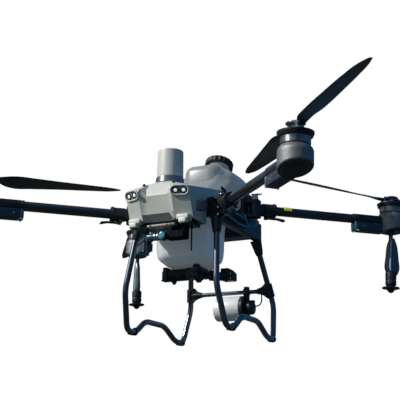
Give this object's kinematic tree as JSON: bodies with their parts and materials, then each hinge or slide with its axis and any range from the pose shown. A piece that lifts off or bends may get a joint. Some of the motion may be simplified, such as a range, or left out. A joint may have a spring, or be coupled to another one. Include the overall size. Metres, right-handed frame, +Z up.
{
  "type": "folding spraying drone",
  "caption": "Agricultural spraying drone with folding arms, folding two-blade propellers, tank with screw cap, lift-out battery, radar drums and bent tube skids.",
  "frame": {"origin": "on the ground under the middle of the rotor layout", "axes": "+Z up, the nose faces -Y, +X is the craft's left side"},
  "size_m": [2.2108, 2.3147, 0.8707],
  "materials": {
    "black_plastic": "satin",
    "carbon": "satin carbon fibre",
    "shell_grey": "satin",
    "tank_plastic": "milky translucent",
    "silver_cover": "satin",
    "motor_metal": "satin",
    "lamp_window": "clear over white"
  },
  "bodies": {
    "airframe": {"centre_frame": "black_plastic", "nose_shell": "shell_grey", "nose_tray": "black_plastic", "avionics_box": "motor_metal", "radar_base": "black_plastic", "radar_drum": "shell_grey", "lamp_left": "lamp_window", "lamp_right": "lamp_window", "sensor_bar": "black_plastic", "camera_yoke": "black_plastic", "antenna_left": "black_plastic", "antenna_right": "black_plastic", "tank": "tank_plastic", "pump_unit": "black_plastic", "skid_left": "carbon", "skid_right": "carbon", "crossbar": "carbon", "rear_radar_drum": "silver_cover", "rear_radar_bracket": "black_plastic", "radar_cable": "black_plastic"},
    "tank_cap": {"tank_cap": "black_plastic"},
    "camera": {"camera": "black_plastic"},
    "battery": {"battery": "black_plastic"},
    "power_button": {"power_button": "motor_metal"},
    "arm_fl": {"knuckle_fl": "black_plastic", "tube_fl": "carbon", "pod_fl": "black_plastic"},
    "latch_fl": {"latch_fl": "motor_metal"},
    "rotor_fl": {"bell_fl": "motor_metal", "hub_fl": "motor_metal"},
    "blade_fl_out": {"blade_fl_out": "carbon"},
    "blade_fl_in": {"blade_fl_in": "carbon"},
    "arm_fr": {"knuckle_fr": "black_plastic", "tube_fr": "carbon", "pod_fr": "black_plastic"},
    "latch_fr": {"latch_fr": "motor_metal"},
    "rotor_fr": {"bell_fr": "motor_metal", "hub_fr": "motor_metal"},
    "blade_fr_out": {"blade_fr_out": "carbon"},
    "blade_fr_in": {"blade_fr_in": "carbon"},
    "arm_rl": {"knuckle_rl": "black_plastic", "tube_rl": "carbon", "pod_rl": "black_plastic", "nozzle_left": "black_plastic"},
    "latch_rl": {"latch_rl": "motor_metal"},
    "rotor_rl": {"bell_rl": "motor_metal", "hub_rl": "motor_metal"},
    "blade_rl_out": {"blade_rl_out": "carbon"},
    "blade_rl_in": {"blade_rl_in": "carbon"},
    "nozzle_disc_left": {"nozzle_disc_left": "silver_cover"},
    "arm_rr": {"knuckle_rr": "black_plastic", "tube_rr": "carbon", "pod_rr": "black_plastic", "nozzle_right": "black_plastic"},
    "latch_rr": {"latch_rr": "motor_metal"},
    "rotor_rr": {"bell_rr": "motor_metal", "hub_rr": "motor_metal"},
    "blade_rr_out": {"blade_rr_out": "carbon"},
    "blade_rr_in": {"blade_rr_in": "carbon"},
    "nozzle_disc_right": {"nozzle_disc_right": "silver_cover"}
  },
  "joints": [
    {"name": "arm_fold_fl", "type": "hinge", "parent": "airframe", "child": "arm_fl", "pos_m": [0.215, -0.201, 0.508], "axis": [0, 0, 1], "range_deg": [0, 90]},
    {"name": "latch_open_fl", "type": "hinge", "parent": "arm_fl", "child": "latch_fl", "pos_m": [0.25588, -0.23928, 0.4712], "axis": [0.6835, 0.7299, 0], "range_deg": [0, 60]},
    {"name": "rotor_spin_fl", "type": "hinge", "parent": "arm_fl", "child": "rotor_fl", "pos_m": [0.7025, -0.6575, 0.588], "axis": [0.0382, -0.0358, 0.9986], "continuous": true},
    {"name": "blade_fold_fl_out", "type": "hinge", "parent": "rotor_fl", "child": "blade_fl_out", "pos_m": [0.72725, -0.68793, 0.6106], "axis": [0.0382, -0.0358, 0.9986], "range_deg": [-80, 80]},
    {"name": "blade_fold_fl_in", "type": "hinge", "parent": "rotor_fl", "child": "blade_fl_in", "pos_m": [0.67963, -0.62883, 0.61454], "axis": [0.0382, -0.0358, 0.9986], "range_deg": [-80, 80]},
    {"name": "arm_fold_fr", "type": "hinge", "parent": "airframe", "child": "arm_fr", "pos_m": [-0.215, -0.201, 0.508], "axis": [0, 0, -1], "range_deg": [0, 90]},
    {"name": "latch_open_fr", "type": "hinge", "parent": "arm_fr", "child": "latch_fr", "pos_m": [-0.25588, -0.23928, 0.4712], "axis": [0.6835, -0.7299, 0], "range_deg": [0, 60]},
    {"name": "rotor_spin_fr", "type": "hinge", "parent": "arm_fr", "child": "rotor_fr", "pos_m": [-0.7025, -0.6575, 0.588], "axis": [-0.0382, -0.0358, 0.9986], "continuous": true},
    {"name": "blade_fold_fr_out", "type": "hinge", "parent": "rotor_fr", "child": "blade_fr_out", "pos_m": [-0.72725, -0.68793, 0.6106], "axis": [-0.0382, -0.0358, 0.9986], "range_deg": [-80, 80]},
    {"name": "blade_fold_fr_in", "type": "hinge", "parent": "rotor_fr", "child": "blade_fr_in", "pos_m": [-0.67963, -0.62883, 0.61454], "axis": [-0.0382, -0.0358, 0.9986], "range_deg": [-80, 80]},
    {"name": "arm_fold_rl", "type": "hinge", "parent": "airframe", "child": "arm_rl", "pos_m": [0.197, 0.184, 0.589], "axis": [0, 0, -1], "range_deg": [0, 90]},
    {"name": "latch_open_rl", "type": "hinge", "parent": "arm_rl", "child": "latch_rl", "pos_m": [0.23787, 0.22228, 0.5522], "axis": [-0.6836, 0.7298, 0], "range_deg": [0, 60]},
    {"name": "rotor_spin_rl", "type": "hinge", "parent": "arm_rl", "child": "rotor_rl", "pos_m": [0.7025, 0.6575, 0.669], "axis": [0.0382, 0.0358, 0.9986], "continuous": true},
    {"name": "blade_fold_rl_out", "type": "hinge", "parent": "rotor_rl", "child": "blade_rl_out", "pos_m": [0.72725, 0.68793, 0.6916], "axis": [0.0382, 0.0358, 0.9986], "range_deg": [-80, 80]},
    {"name": "blade_fold_rl_in", "type": "hinge", "parent": "rotor_rl", "child": "blade_rl_in", "pos_m": [0.67963, 0.62883, 0.69554], "axis": [0.0382, 0.0358, 0.9986], "range_deg": [-80, 80]},
    {"name": "disc_spin_left", "type": "hinge", "parent": "arm_rl", "child": "nozzle_disc_left", "pos_m": [0.6873, 0.64326, 0.27154], "axis": [0.0382, 0.0358, 0.9986], "continuous": true},
    {"name": "arm_fold_rr", "type": "hinge", "parent": "airframe", "child": "arm_rr", "pos_m": [-0.197, 0.184, 0.589], "axis": [0, 0, 1], "range_deg": [0, 90]},
    {"name": "latch_open_rr", "type": "hinge", "parent": "arm_rr", "child": "latch_rr", "pos_m": [-0.23787, 0.22228, 0.5522], "axis": [-0.6836, -0.7298, 0], "range_deg": [0, 60]},
    {"name": "rotor_spin_rr", "type": "hinge", "parent": "arm_rr", "child": "rotor_rr", "pos_m": [-0.7025, 0.6575, 0.669], "axis": [-0.0382, 0.0358, 0.9986], "continuous": true},
    {"name": "blade_fold_rr_out", "type": "hinge", "parent": "rotor_rr", "child": "blade_rr_out", "pos_m": [-0.72725, 0.68793, 0.6916], "axis": [-0.0382, 0.0358, 0.9986], "range_deg": [-80, 80]},
    {"name": "blade_fold_rr_in", "type": "hinge", "parent": "rotor_rr", "child": "blade_rr_in", "pos_m": [-0.67963, 0.62883, 0.69554], "axis": [-0.0382, 0.0358, 0.9986], "range_deg": [-80, 80]},
    {"name": "disc_spin_right", "type": "hinge", "parent": "arm_rr", "child": "nozzle_disc_right", "pos_m": [-0.6873, 0.64326, 0.27154], "axis": [-0.0382, 0.0358, 0.9986], "continuous": true},
    {"name": "cap_turn", "type": "hinge", "parent": "airframe", "child": "tank_cap", "pos_m": [0, 0.205, 0.808], "axis": [0, 0.309, 0.9511], "range_deg": [0, 120]},
    {"name": "camera_tilt", "type": "hinge", "parent": "airframe", "child": "camera", "pos_m": [0, -0.316, 0.3717], "axis": [1, 0, 0], "range_deg": [-30, 75]},
    {"name": "battery_lift", "type": "slide", "parent": "airframe", "child": "battery", "axis": [0, 0, 1], "range_m": [0, 0.16]},
    {"name": "button_press", "type": "slide", "parent": "battery", "child": "power_button", "axis": [0, -1, 0], "range_m": [0, 0.0025], "stiffness_N_per_m": 400}
  ]
}
